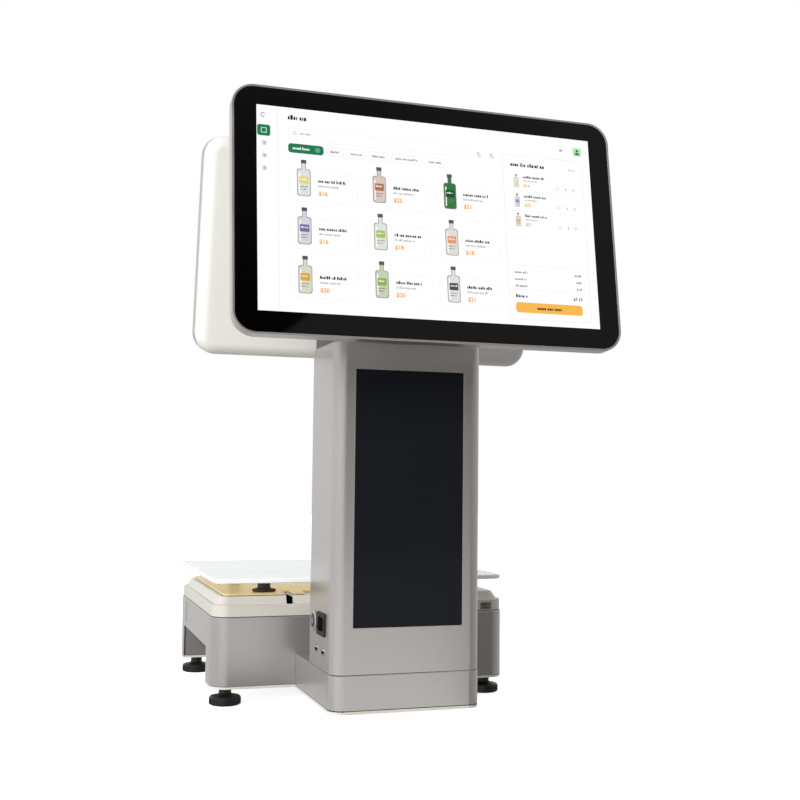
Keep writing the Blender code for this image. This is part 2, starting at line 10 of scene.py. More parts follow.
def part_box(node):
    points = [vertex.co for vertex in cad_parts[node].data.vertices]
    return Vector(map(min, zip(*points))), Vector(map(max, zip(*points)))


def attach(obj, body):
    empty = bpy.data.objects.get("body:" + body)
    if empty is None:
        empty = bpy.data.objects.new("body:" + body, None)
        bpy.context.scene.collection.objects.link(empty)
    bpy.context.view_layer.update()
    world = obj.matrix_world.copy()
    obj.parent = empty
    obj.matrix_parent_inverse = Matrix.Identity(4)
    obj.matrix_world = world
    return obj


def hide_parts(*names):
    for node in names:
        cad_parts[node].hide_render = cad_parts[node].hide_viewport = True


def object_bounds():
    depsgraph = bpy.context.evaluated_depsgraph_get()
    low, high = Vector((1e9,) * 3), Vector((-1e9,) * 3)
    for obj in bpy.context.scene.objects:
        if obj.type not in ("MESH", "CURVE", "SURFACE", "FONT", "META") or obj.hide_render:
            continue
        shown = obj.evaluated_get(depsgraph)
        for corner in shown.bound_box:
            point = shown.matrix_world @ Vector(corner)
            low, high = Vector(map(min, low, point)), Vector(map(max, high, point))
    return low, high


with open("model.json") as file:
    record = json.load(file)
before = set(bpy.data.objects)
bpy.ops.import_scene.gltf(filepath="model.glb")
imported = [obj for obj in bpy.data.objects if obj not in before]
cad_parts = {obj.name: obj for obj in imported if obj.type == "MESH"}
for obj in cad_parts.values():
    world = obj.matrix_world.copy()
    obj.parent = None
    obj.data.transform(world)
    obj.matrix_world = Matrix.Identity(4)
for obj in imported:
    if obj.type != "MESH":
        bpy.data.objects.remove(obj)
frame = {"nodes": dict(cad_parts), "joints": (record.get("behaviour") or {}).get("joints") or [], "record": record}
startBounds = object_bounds()
print("frame loaded")

floorZ = startBounds[0].z
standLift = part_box("pedestal_plate")[0].z
axes = "XYZ"
fourCorners = ("front_left", "front_right", "rear_left", "rear_right")
doorSheet = 0.0022
bodyOf = {n: body for body, members in frame["record"]["behaviour"]["bodies"].items() for n in members}
slotOf = {piece["node"]: piece["material_slot"] for piece in frame["record"]["subparts"]}


def linear(code):
    # An sRGB hex colour as linear red, green, blue and alpha.
    steps = [int(code[i:i + 2], 16) / 255 for i in (1, 3, 5)]
    return tuple(s / 12.92 if s <= 0.04045 else ((s + 0.055) / 1.055) ** 2.4 for s in steps) + (1.0,)


def addNode(tree, kind, settings=None, links=None):
    node = tree.nodes.new(kind)
    for key, value in (settings or {}).items():
        if isinstance(key, str) and hasattr(node, key):
            setattr(node, key, value)
        else:
            node.inputs[key].default_value = value
    for key, socket in (links or {}).items():
        tree.links.new(socket, node.inputs[key])
    return node


def makeMaterial(
    name, dark, light, metallic=0.0, roughness=(0.3, 0.4), grain=0.8, bump=0.02, stretch=(1, 1, 1),
    flake=0.0, coat=0.0, clear=0.0, wear=30.0
):
    # A surface from two tones, a fine grain and a slow drift. Grain, bump and wear sizes are in millimetres.
    material = bpy.data.materials.new(name)
    material.use_nodes = True
    tree = material.node_tree
    shader = tree.nodes["Principled BSDF"]
    place = addNode(tree, "ShaderNodeTexCoord")
    scaled = addNode(
        tree, "ShaderNodeMapping", {"Scale": tuple(1000.0 / s for s in stretch)},
        {"Vector": place.outputs["Object"]})
    fine = addNode(
        tree, "ShaderNodeTexNoise", {"Scale": 1.0 / grain, "Detail": 3.0},
        {"Vector": scaled.outputs["Vector"]})
    slow = addNode(
        tree, "ShaderNodeTexNoise", {"Scale": 1.0 / wear, "Detail": 2.0},
        {"Vector": scaled.outputs["Vector"]})
    drift = addNode(
        tree, "ShaderNodeMath", {"operation": "MULTIPLY_ADD", 1: 0.5},
        {0: fine.outputs["Fac"], 2: slow.outputs["Fac"]})
    level = addNode(
        tree, "ShaderNodeMapRange", {"From Min": 0.55, "From Max": 0.95},
        {"Value": drift.outputs["Value"]})
    tone = addNode(
        tree, "ShaderNodeMix", {"data_type": "RGBA", 6: linear(dark), 7: linear(light)},
        {0: level.outputs["Result"]})
    colour = tone.outputs[2]
    if flake:
        cells = addNode(
            tree, "ShaderNodeTexVoronoi", {"Scale": 1.0 / flake}, {"Vector": scaled.outputs["Vector"]})
        glint = addNode(
            tree, "ShaderNodeMapRange",
            {"From Min": 0.0, "From Max": 1.0, "To Min": 0.93, "To Max": 1.07},
            {"Value": cells.outputs["Color"]})
        shimmer = addNode(
            tree, "ShaderNodeVectorMath", {"operation": "SCALE"},
            {0: colour, "Scale": glint.outputs["Result"]})
        colour = shimmer.outputs["Vector"]
    tree.links.new(colour, shader.inputs["Base Color"])
    rough = addNode(
        tree, "ShaderNodeMapRange",
        {"From Min": 0.35, "From Max": 0.65, "To Min": roughness[0], "To Max": roughness[1]},
        {"Value": slow.outputs["Fac"]})
    tree.links.new(rough.outputs["Result"], shader.inputs["Roughness"])
    relief = addNode(
        tree, "ShaderNodeBump", {"Strength": 0.35, "Distance": bump / 1000.0},
        {"Height": fine.outputs["Fac"]})
    tree.links.new(relief.outputs["Normal"], shader.inputs["Normal"])
    shader.inputs["Metallic"].default_value = metallic
    shader.inputs["Coat Weight"].default_value = coat
    shader.inputs["Transmission Weight"].default_value = clear
    return material


# Silver paint with fine aluminium flake, sprayed on sheet metal and castings: a soft, even sheen.
silverPaint = makeMaterial(
    "silverPaint", "#b1adaa", "#b6b2af", 0.7, (0.285, 0.31), 0.9, 0.006, flake=0.25, coat=0.2, wear=180)
# Scale cover: moulded plastic in a pale silver lacquer, less metallic than the paint.
coverLacquer = makeMaterial(
    "paleSilverLacquer", "#cdc9c1", "#d2cec6", 0.15, (0.34, 0.40), 0.7, 0.008, flake=0.25, wear=160)
# Cream powder coat on the thin base plates, slightly rough.
creamPaint = makeMaterial("creamPaint", "#d3d1c5", "#dad8cb", 0.0, (0.36, 0.42), 0.7, 0.012, wear=90)
# Black back-printed cover glass, polished: sharp reflections over deep black.
blackGlass = makeMaterial("blackGlass", "#000000", "#020202", 0.0, (0.04, 0.06), 6.0, 0.0, wear=60)
# Column window: dark toughened glass with an anti-glare coating.
smokedGlass = makeMaterial("smokedGlass", "#1a1b1f", "#1b1c20", 0.0, (0.10, 0.13), 6.0, 0.0, wear=60)
smokedGlass.node_tree.nodes["Principled BSDF"].inputs["Specular IOR Level"].default_value = 0.06
# Display lip: extruded aluminium, anodised in a warm grey.
anodised = makeMaterial(
    "anodisedAluminium", "#b5aca9", "#c2bab6", 0.7, (0.28, 0.34), 0.3, 0.006, (6, 1, 1))
# Display back: moulded off-white plastic with a spark-eroded grain.
whitePlastic = makeMaterial(
    "mouldedWhitePlastic", "#dbdad4", "#deddd7", 0.0, (0.42, 0.46), 0.5, 0.015, wear=160)
# Neck case and latch: moulded slate plastic.
slatePlastic = makeMaterial("mouldedSlatePlastic", "#3f3d49", "#4b4955", 0.0, (0.42, 0.5), 0.5, 0.02)
# Pan support: pressed steel, yellow-passivated zinc plating.
goldZinc = makeMaterial(
    "yellowZincPlate", "#e6cd93", "#ead29b", 0.3, (0.2, 0.24), 2.4, 0.002, wear=90)
# Feet: glass-filled black nylon, moulded.
blackNylon = makeMaterial("mouldedBlackNylon", "#131313", "#1d1d1f", 0.0, (0.38, 0.48), 0.4, 0.02)
# Mains inlet: satin black moulded plastic.
socketPlastic = makeMaterial("blackSocketPlastic", "#060608", "#0a0a0d", 0.0, (0.5, 0.56), 0.4, 0.004)
# Pads and roller: dark moulded rubber.
rubber = makeMaterial("mouldedRubber", "#241d1a", "#302825", 0.0, (0.6, 0.75), 0.3, 0.03)
# Pan: tempered glass with a faint blue-green body.
panGlass = makeMaterial(
    "temperedGlass", "#f4fbfb", "#f8fdfd", 0.0, (0.14, 0.17), 8.0, 0.0, clear=0.1, wear=120)
# Frames, brackets and arms: sheet steel, clear zinc plated.
zincSteel = makeMaterial(
    "zincPlatedSteel", "#9a9c9f", "#b9bbbe", 0.9, (0.28, 0.42), 1.2, 0.01, wear=9)
# Load cell, post and print head: machined aluminium with fine tool lines.
millAluminium = makeMaterial(
    "machinedAluminium", "#bfc1c4", "#d2d4d6", 1.0, (0.25, 0.34), 0.2, 0.01, (12, 1, 1))
# Sockets' shells and the button's ring: nickel and chrome plate.
chrome = makeMaterial("chromePlate", "#c4c5c8", "#d9dadc", 1.0, (0.10, 0.18), 1.0, 0.003)
# Button cap: painted dark metal.
capMetal = makeMaterial("darkCapMetal", "#33343a", "#3f4046", 0.5, (0.26, 0.34), 0.4, 0.01)
# Contacts: bare brass.
brass = makeMaterial("contactBrass", "#c79a4a", "#dcb468", 1.0, (0.2, 0.3), 0.5, 0.005)
# Circuit board: green solder mask over copper.
solderMask = makeMaterial("solderMask", "#0e4a2a", "#15603a", 0.0, (0.25, 0.4), 1.4, 0.03, wear=4)
# Label stock: thermal paper on the roll.
paperStock = makeMaterial("thermalPaper", "#e6e3da", "#f1eee6", 0.0, (0.75, 0.85), 0.25, 0.03, (1, 6, 6))
print("materials made")


def newMesh(name, solid, material):
    mesh = bpy.data.meshes.new(name)
    bmesh.ops.recalc_face_normals(solid, faces=solid.faces)
    solid.to_mesh(mesh)
    solid.free()
    mesh.materials.append(material)
    item = bpy.data.objects.new(name, mesh)
    bpy.context.scene.collection.objects.link(item)
    return item


def bake(item):
    # Applies every modifier, leaving one plain mesh.
    bpy.context.view_layer.update()
    done = bpy.data.meshes.new_from_object(item.evaluated_get(bpy.context.evaluated_depsgraph_get()))
    item.modifiers.clear()
    item.data = done
    return item


look = {"creaseAngle": math.radians(38), "rimSegments": 2}


def shade(item, edge=0.0):
    # Rounds the sharp edges a little and shades the broad faces flat.
    item.data.shade_smooth()
    if edge:
        rim = item.modifiers.new("rim", "BEVEL")
        rim.limit_method = "ANGLE"
        rim.angle_limit = look["creaseAngle"]
        rim.width = edge
        rim.segments = look["rimSegments"]
        rim.harden_normals = False
    weight = item.modifiers.new("weight", "WEIGHTED_NORMAL")
    weight.keep_sharp = False
    return bake(item)


def place(item, body, slotName=None, nodes=()):
    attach(item, body)
    if nodes:
        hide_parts(*nodes)
    return item


def block(x, y, z, corner=0.0, along="Z", corners="all", steps=10, soft=0.0, sides=("+Z",), softSteps=4):
    # A block between three spans, edges along one axis rounded, then the rims of some sides softened.
    size = Vector((x[1] - x[0], y[1] - y[0], z[1] - z[0]))
    solid = bmesh.new()
    bmesh.ops.create_cube(solid, size=1.0)
    bmesh.ops.scale(solid, vec=size, verts=solid.verts)
    axis = axes.index(along)
    if corner:
        chosen = []
        for edge in solid.edges:
            run = edge.verts[0].co - edge.verts[1].co
            mid = (edge.verts[0].co + edge.verts[1].co) / 2
            if abs(run[axis]) > size[axis] / 2 and (corners == "all" or (corners == "front") == (mid.y < 0)):
                chosen.append(edge)
        bmesh.ops.bevel(
            solid, geom=chosen, offset=corner, segments=steps, profile=0.5, affect="EDGES",
            clamp_overlap=True)
    for side in sides if soft else ():
        way = axes.index(side[1])
        level = size[way] / 2 * (1 if side[0] == "+" else -1)
        rim = [e for e in solid.edges if all(abs(v.co[way] - level) < 1e-6 for v in e.verts)]
        bmesh.ops.bevel(
            solid, geom=rim, offset=soft, segments=softSteps, profile=0.5, affect="EDGES",
            clamp_overlap=True)
    centre = Vector(((x[0] + x[1]) / 2, (y[0] + y[1]) / 2, (z[0] + z[1]) / 2))
    bmesh.ops.translate(solid, vec=centre, verts=solid.verts)
    return solid


def lathe(profile, centre, along="Z", steps=64):
    # Radius and height pairs spun about an axis.
    solid = bmesh.new()
    points = [solid.verts.new((radius, 0.0, height)) for radius, height in profile]
    edges = [solid.edges.new(pair) for pair in zip(points, points[1:])]
    bmesh.ops.spin(
        solid, geom=points + edges, cent=(0, 0, 0), axis=(0, 0, 1), dvec=(0, 0, 0),
        angle=math.tau, steps=steps, use_merge=True)
    bmesh.ops.remove_doubles(solid, verts=solid.verts, dist=1e-7)
    turn = {"X": Matrix.Rotation(math.pi / 2, 3, "Y"), "Y": Matrix.Rotation(-math.pi / 2, 3, "X")}
    if along in turn:
        bmesh.ops.rotate(solid, cent=(0, 0, 0), matrix=turn[along], verts=solid.verts)
    bmesh.ops.translate(solid, vec=Vector(centre), verts=solid.verts)
    return solid


def refine(node, material, edge):
    # A CAD node's own solid with its triangles joined into faces and its edges slightly rounded.
    source = frame["nodes"][node]
    solid = bmesh.new()
    solid.from_mesh(source.data)
    bmesh.ops.remove_doubles(solid, verts=solid.verts, dist=1e-6)
    bmesh.ops.dissolve_limit(
        solid, angle_limit=math.radians(0.5), verts=solid.verts, edges=solid.edges)
    item = shade(newMesh(node + "Fine", solid, material), edge)
    return place(item, bodyOf[node], slotOf[node], (node,))


def carve(item, solids, edge=0.0):
    # Takes the solids out of a piece, then rounds its edges.
    tools = []
    for solid in solids:
        tool = newMesh("cutter", solid, item.data.materials[0])
        tools.append(tool)
        step = item.modifiers.new("cut", "BOOLEAN")
        step.operation = "DIFFERENCE"
        step.solver = "EXACT"
        step.object = tool
    bake(item)
    for tool in tools:
        bpy.data.objects.remove(tool)
    return shade(item, edge)


# Pieces whose own solid is carried over, with joined faces and rounded rims.
for node, material, edge in (
    ("column_shell", silverPaint, 0.0009),
    ("service_door", silverPaint, 0.0004),
    ("pedestal_cover", silverPaint, 0.0009),
    ("scale_housing", silverPaint, 0.0009),
    ("scale_cover", coverLacquer, 0.0009),
    ("pedestal_plate", creamPaint, 0.0005),
    ("bottom_plate_front", creamPaint, 0.0005),
    ("bottom_plate_rear", creamPaint, 0.0005),
    ("pan_support", goldZinc, 0.0004),
    ("neck_cover", slatePlastic, 0.0004),
    ("hinge_base", zincSteel, 0.0004),
    ("front_display_arm", zincSteel, 0.0005),
    ("rear_display_arm", zincSteel, 0.0005),
    ("scale_chassis", zincSteel, 0.0005),
    ("load_cell", millAluminium, 0.0003),
    ("support_post", millAluminium, 0.0005),
    ("print_head", millAluminium, 0.0004),
    ("printer_frame", zincSteel, 0.0003),
    ("power_supply", zincSteel, 0.0006),
    ("main_board", solderMask, 0.0002),
    ("column_glass", smokedGlass, 0.0003),
    ("paper_roll", paperStock, 0.0004),
    ("roll_spindle", slatePlastic, 0.0006),
    ("platen_roller", rubber, 0.0004),
    ("door_pin", zincSteel, 0.0003),
    ("front_hinge_pin", zincSteel, 0.0005),
    ("rear_hinge_pin", zincSteel, 0.0005),
    ("foot_centre", rubber, 0.0004),
    ("power_inlet", socketPlastic, 0.0003),
    ("usb_socket_front", chrome, 0.0002),
    ("usb_socket_rear", chrome, 0.0002),
    ("button_ring", chrome, 0.0002),
    ("power_button", capMetal, 0.0003),
    ("front_display_lcd", zincSteel, 0.0004),
    ("rear_display_lcd", zincSteel, 0.0004),
    ("foot_nut_front_left", zincSteel, 0.0004),
    ("foot_nut_front_right", zincSteel, 0.0004),
    ("foot_nut_rear_left", zincSteel, 0.0004),
    ("foot_nut_rear_right", zincSteel, 0.0004),
):
    refine(node, material, edge)

# Dark slate strips fill the narrow gaps between the case parts: painted shade, a dark sheet standing in for the
# shadow in each seam.
seamShadeSize = {"width": 0.0022, "sink": 0.0006, "rise": 0.0007}
for above, under, corner, rounded, inset in (
    ("column_shell", "pedestal_cover", 0.013, "front", 0.00015),
    ("scale_cover", "scale_housing", 0.018, "all", 0.0004),
    ("pedestal_cover", "pedestal_plate", 0.0145, "front", 0.0002),
):
    low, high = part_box(above)
    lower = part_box(under)
    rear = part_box("service_door")[0].y + doorSheet if above == "column_shell" else high.y

    def ringBlock(step, deep):
        return block(
            (low.x + step, high.x - step), (low.y + step, rear - step),
            (lower[1].z - seamShadeSize["sink"] - deep, low.z + seamShadeSize["rise"] + deep), corner - step,
            corners=rounded, steps=16)

    # A dark slate ring sunk in the seam: painted shade standing in for the gap's shadow.
    seamShadeStrip = newMesh(above + "SeamShadeStrip", ringBlock(inset, 0.0), slatePlastic)
    carve(seamShadeStrip, [ringBlock(seamShadeSize["width"], 0.01)])
    place(seamShadeStrip, bodyOf[above], slotOf["neck_cover"])
print("solid pieces refined")


def repeatTree(name, kind):
    # Geometry nodes that put one small block at each point of a ring or a row.
    tree = bpy.data.node_groups.new(name, "GeometryNodeTree")
    face = tree.interface
    face.new_socket("Geometry", in_out="OUTPUT", socket_type="NodeSocketGeometry")
    for title, socketKind in (
        ("Count", "NodeSocketInt"), ("Span", "NodeSocketFloat"), ("Size", "NodeSocketVector"),
        ("Material", "NodeSocketMaterial"),
    ):
        face.new_socket(title, in_out="INPUT", socket_type=socketKind)
    given = addNode(tree, "NodeGroupInput")
    if kind == "ring":
        points = addNode(
            tree, "GeometryNodeMeshCircle", {},
            {"Vertices": given.outputs["Count"], "Radius": given.outputs["Span"]})
        where = addNode(tree, "GeometryNodeInputPosition")
        turn = addNode(
            tree, "FunctionNodeAlignRotationToVector", {"axis": "X"},
            {"Vector": where.outputs["Position"]})
    else:
        step = addNode(tree, "ShaderNodeCombineXYZ", {}, {"X": given.outputs["Span"]})
        points = addNode(
            tree, "GeometryNodeMeshLine", {"mode": "OFFSET"},
            {"Count": given.outputs["Count"], "Offset": step.outputs["Vector"]})
        turn = addNode(
            tree, "FunctionNodeAlignRotationToVector", {"axis": "X", "Vector": (1.0, 0.0, 0.0)})
    cube = addNode(tree, "GeometryNodeMeshCube", {}, {"Size": given.outputs["Size"]})
    copies = addNode(
        tree, "GeometryNodeInstanceOnPoints", {},
        {"Points": points.outputs["Mesh"], "Instance": cube.outputs["Mesh"],
         "Rotation": turn.outputs["Rotation"]})
    real = addNode(tree, "GeometryNodeRealizeInstances", {}, {"Geometry": copies.outputs["Instances"]})
    painted = addNode(
        tree, "GeometryNodeSetMaterial", {},
        {"Geometry": real.outputs["Geometry"], "Material": given.outputs["Material"]})
    result = addNode(tree, "NodeGroupOutput")
    tree.links.new(painted.outputs["Geometry"], result.inputs["Geometry"])
    return tree


ringTree = repeatTree("ringOfBlocks", "ring")
rowTree = repeatTree("rowOfBlocks", "row")


def repeated(name, tree, count, span, size, material):
    # The tree's result as one plain mesh.
    mesh = bpy.data.meshes.new(name)
    item = bpy.data.objects.new(name, mesh)
    bpy.context.scene.collection.objects.link(item)
    step = item.modifiers.new("repeat", "NODES")
    step.node_group = tree
    values = {"Count": count, "Span": span, "Size": size, "Material": material}
    for socket in tree.interface.items_tree:
        if socket.in_out == "INPUT":
            step[socket.identifier] = values[socket.name]
    return bake(item)


def moveMesh(item, matrix):
    item.data.transform(matrix)
    return item


# Levelling feet: a turned stud and knob, with grip ribs standing on the knob's side. The collar and its
# flare are given as radius and distance below the base plates.
foot = {
    "stud": 0.004, "chamfer": 0.0006, "collar": 0.0070, "collarEnd": 0.0054, "knobTop": 0.0099,
    "flare": ((0.0074, 0.0063), (0.0084, 0.0070), (0.0105, 0.0077), (0.0152, 0.0085), (0.0164, 0.0089)),
}
ribs = {"count": 30, "width": 0.0011, "proud": 0.0007, "start": 0.0011, "clear": 0.0115}
for corner in fourCorners:
    node = "foot_" + corner
    low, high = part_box(node)
    centre = Vector(((low.x + high.x) / 2, (low.y + high.y) / 2, low.z))
    knob = (high.x - low.x) / 2
    top = high.z - low.z
    stud = lathe((
        (0.0, top), (foot["stud"] - foot["chamfer"], top), (foot["stud"], top - foot["chamfer"]),
        (foot["stud"], standLift + foot["chamfer"]), (foot["collar"], standLift + foot["chamfer"]),
        (foot["collar"], standLift - foot["collarEnd"]),
        *((radius, standLift - drop) for radius, drop in foot["flare"]),
        (knob - ribs["proud"], standLift - foot["knobTop"]), (knob - ribs["proud"], 0.0013),
        (knob - 0.0011, foot["chamfer"]), (knob - 0.0020, 0.0), (0.0, 0.0),
    ), centre)
    turned = shade(newMesh(node + "Turned", stud, blackNylon))
    place(turned, bodyOf[node], slotOf[node], (node,))
    tall = standLift - ribs["clear"]
    grip = repeated(
        node + "Ribs", ringTree, ribs["count"], knob - ribs["proud"],
        (2 * ribs["proud"] - 0.00005, ribs["width"], tall), blackNylon)
    moveMesh(grip, Matrix.Translation(centre + Vector((0.0, 0.0, tall / 2 + ribs["start"]))))
    place(shade(grip, 0.0002), bodyOf[node], slotOf[node])

# Rubber pads under the glass pan: a skirt, a neck with a moulded groove and a flat head.
pad = {
    "head": 0.0072, "groove": ((0.0072, 0.0062), (0.0069, 0.0058), (0.0069, 0.0052), (0.0072, 0.0048)),
    "flare": ((0.0076, 0.0038), (0.0090, 0.0030)),
}
for corner in fourCorners:
    node = "pan_pad_" + corner
    low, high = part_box(node)
    centre = Vector(((low.x + high.x) / 2, (low.y + high.y) / 2, low.z))
    skirt = (high.x - low.x) / 2
    tall = high.z - low.z
    solid = lathe((
        (0.0, tall), (pad["head"] - 0.0010, tall), (pad["head"] - 0.0004, tall - 0.0002),
        (pad["head"], tall - 0.0008), *pad["groove"], *pad["flare"],
        (skirt - 0.0010, 0.0022), (skirt - 0.0002, 0.0018), (skirt, 0.0013),
        (skirt - 0.0004, 0.0005), (skirt - 0.0015, 0.0), (0.0, 0.0),
    ), centre)
    moulded = shade(newMesh(node + "Moulded", solid, rubber))
    place(moulded, bodyOf[node], slotOf[node], (node,))

# Glass pan: polished rims above and below, rounded corners. It casts no shadow on the plate below.
sheetGlass = {"corner": 0.014, "rim": 0.0012}
low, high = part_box("glass_pan")
pan = newMesh("glassPan", block(
    (low.x, high.x), (low.y, high.y), (low.z, high.z), sheetGlass["corner"], steps=16,
    soft=sheetGlass["rim"], sides=("+Z", "-Z")), panGlass)
shade(pan)
pan.visible_shadow = False
pan.visible_diffuse = False
place(pan, bodyOf["glass_pan"], slotOf["glass_pan"], ("glass_pan",))
print("feet, pads and pan made")


# Flat graphics: a sheet is a list of polygons in millimetres from a top left corner, each with a
# colour and a layer, turned into one mesh whose colours are stored at its face corners. The display's
# white ground runs on above and below the panel by the two lengths given, in millimetres.
picture = {
    "width": 0.3442, "height": 0.1936, "above": 3.9, "below": 2.0, "lift": 0.00005, "layer": 0.00001,
}
pageWide, pageTall = picture["width"] * 1000, picture["height"] * 1000
dice = random.Random(4)


def roundRect(sheet, x, y, width, height, radius, colour, layer=1):
    points = []
    radius = min(radius, width / 2, height / 2)
    for cx, cy, start in (
        (x + width - radius, y + radius, -90), (x + width - radius, y + height - radius, 0),
        (x + radius, y + height - radius, 90), (x + radius, y + radius, 180),
    ):
        for step in range(7 if radius else 1):
            angle = math.radians(start + step * 15)
            points.append((cx + radius * math.cos(angle), cy + radius * math.sin(angle)))
    sheet.append((points, colour, layer))


def outline(sheet, x, y, width, height, radius, colour, inside, line=0.35, layer=1):
    roundRect(sheet, x, y, width, height, radius, colour, layer)
    roundRect(
        sheet, x + line, y + line, width - 2 * line, height - 2 * line, max(radius - line, 0), inside,
        layer + 1)


def disc(sheet, x, y, radius, colour, layer=1):
    roundRect(sheet, x - radius, y - radius, 2 * radius, 2 * radius, radius, colour, layer)


def arc(sheet, x, y, radius, line, begin, end, colour, layer=1):
    steps = 24
    for step in range(steps):
        first = math.radians(begin + (end - begin) * step / steps)
        last = math.radians(begin + (end - begin) * (step + 1) / steps)
        sheet.append(([
            (x + radius * math.cos(first), y + radius * math.sin(first)),
            (x + radius * math.cos(last), y + radius * math.sin(last)),
            (x + (radius - line) * math.cos(last), y + (radius - line) * math.sin(last)),
            (x + (radius - line) * math.cos(first), y + (radius - line) * math.sin(first)),
        ], colour, layer))


def words(sheet, x, y, width, height, colour, layer=3):
    # A line of lettering suggested by short rounded strokes, with no readable words.
    here = x
    while here < x + width - height * 0.4:
        for _ in range(dice.randint(3, 7)):
            stroke = height * dice.choice((0.22, 0.38, 0.5))
            if here + stroke > x + width:
                break
            tall = height * dice.choice((0.7, 0.7, 0.7, 1.0))
            roundRect(sheet, here, y + height - tall, stroke, tall, height * 0.1, colour, layer)
            here += stroke + height * 0.13
        here += height * 0.35


def number(sheet, text, x, y, height, colour, layer=3, align="left"):
    # Numerals from the built-in font, turned into polygons.
    curve = bpy.data.curves.new("numerals", "FONT")
    curve.body = text
    curve.resolution_u = 3
    curve.offset = 0.025
    item = bpy.data.objects.new("numerals", curve)
    bpy.context.scene.collection.objects.link(item)
    bpy.context.view_layer.update()
    mesh = bpy.data.meshes.new_from_object(item.evaluated_get(bpy.context.evaluated_depsgraph_get()))
    tall = max(v.co.y for v in mesh.vertices)
    wide = max(v.co.x for v in mesh.vertices)
    scale = height / tall
    left = x - (wide * scale if align == "right" else wide * scale / 2 if align == "middle" else 0)
    for polygon in mesh.polygons:
        ends = [mesh.vertices[i].co for i in polygon.vertices]
        sheet.append(([(left + c.x * scale, y + height - c.y * scale) for c in ends], colour, layer))
    bpy.data.objects.remove(item)
    bpy.data.meshes.remove(mesh)


def bottle(sheet, x, top, tall, wide, glassColour, capColour, layer=4):
    # A plain bottle: dark rim, lighter body, a cap, a highlight and a blank label with two lines.
    neckWide = wide * 0.32
    for inset, tone in ((0.0, "#8b8f90"), (wide * 0.05, glassColour)):
        roundRect(
            sheet, x - neckWide / 2 + inset, top, neckWide - 2 * inset, tall * 0.34, 0.3, tone, layer)
        roundRect(
            sheet, x - wide / 2 + inset, top + tall * 0.25 + inset, wide - 2 * inset,
            tall * 0.75 - 2 * inset, wide * 0.2, tone, layer + (1 if inset else 0))
        layer += 1
    roundRect(sheet, x - neckWide * 0.62, top, neckWide * 1.24, tall * 0.1, 0.3, "#55585c", layer + 1)
    roundRect(
        sheet, x - wide * 0.36, top + tall * 0.36, wide * 0.09, tall * 0.56, wide * 0.04, "#ffffff",
        layer + 1)
    roundRect(
        sheet, x - wide * 0.34, top + tall * 0.46, wide * 0.68, tall * 0.2, 0.3, capColour, layer + 2)
    words(sheet, x - wide * 0.26, top + tall * 0.51, wide * 0.52, tall * 0.05, "#fbfaf6", layer + 3)
    words(sheet, x - wide * 0.3, top + tall * 0.72, wide * 0.6, tall * 0.035, "#77797d", layer + 3)
    words(sheet, x - wide * 0.3, top + tall * 0.79, wide * 0.5, tall * 0.035, "#77797d", layer + 3)


def sheetMesh(name, sheet, material, lift):
    # Layers stand in front of one another by a hundredth of a millimetre.
    points = []
    faces = []
    tones = []
    for shape, colour, layer in sheet:
        faces.append(list(range(len(points), len(points) + len(shape))))
        points += [(x / 1000, -lift - layer * picture["layer"], -y / 1000) for x, y in shape]
        tones += [linear(colour)] * len(shape)
    mesh = bpy.data.meshes.new(name)
    mesh.from_pydata(points, [], faces)
    store = mesh.color_attributes.new("ink", "FLOAT_COLOR", "CORNER")
    for entry, tone in zip(store.data, tones):
        entry.color = tone
    towards = [p.normal.y > 0 for p in mesh.polygons]
    solid = bmesh.new()
    solid.from_mesh(mesh)
    solid.faces.ensure_lookup_table()
    bmesh.ops.reverse_faces(solid, faces=[f for f, wrong in zip(solid.faces, towards) if wrong])
    solid.to_mesh(mesh)
    solid.free()
    mesh.materials.append(material)
    item = bpy.data.objects.new(name, mesh)
    bpy.context.scene.collection.objects.link(item)
    return item


def inkMaterial(name, glow, roughness):
    # Colours come from the mesh's own ink attribute, with a fine screen-like grain.
    material = bpy.data.materials.new(name)
    material.use_nodes = True
    tree = material.node_tree
    shader = tree.nodes["Principled BSDF"]
    ink = addNode(tree, "ShaderNodeAttribute", {"attribute_name": "ink"})
    where = addNode(tree, "ShaderNodeTexCoord")
    grain = addNode(
        tree, "ShaderNodeTexNoise", {"Scale": 2500.0, "Detail": 1.0}, {"Vector": where.outputs["Object"]})
    level = addNode(
        tree, "ShaderNodeMapRange", {"To Min": 0.97, "To Max": 1.03}, {"Value": grain.outputs["Fac"]})
    tone = addNode(
        tree, "ShaderNodeVectorMath", {"operation": "SCALE"},
        {0: ink.outputs["Color"], "Scale": level.outputs["Result"]})
    target = "Emission Color" if glow else "Base Color"
    tree.links.new(tone.outputs["Vector"], shader.inputs[target])
    if glow:
        shader.inputs["Base Color"].default_value = linear("#040404")
        shader.inputs["Emission Strength"].default_value = glow
    shader.inputs["Roughness"].default_value = roughness
    return material


# Lit display picture seen through the polished cover glass.
litPicture = inkMaterial("displayPicture", 1.0, 0.08)
# Pad-printed marks and label print.
padPrint = inkMaterial("padPrint", 0.0, 0.45)

green, paleGreen, orange, price = "#1f7a52", "#bfe6b8", "#f9b84f", "#f7a62b"
line, grey, dark, faint, white = "#e2e2e2", "#8b8b8b", "#16181c", "#b4b4b4", "#ffffff"


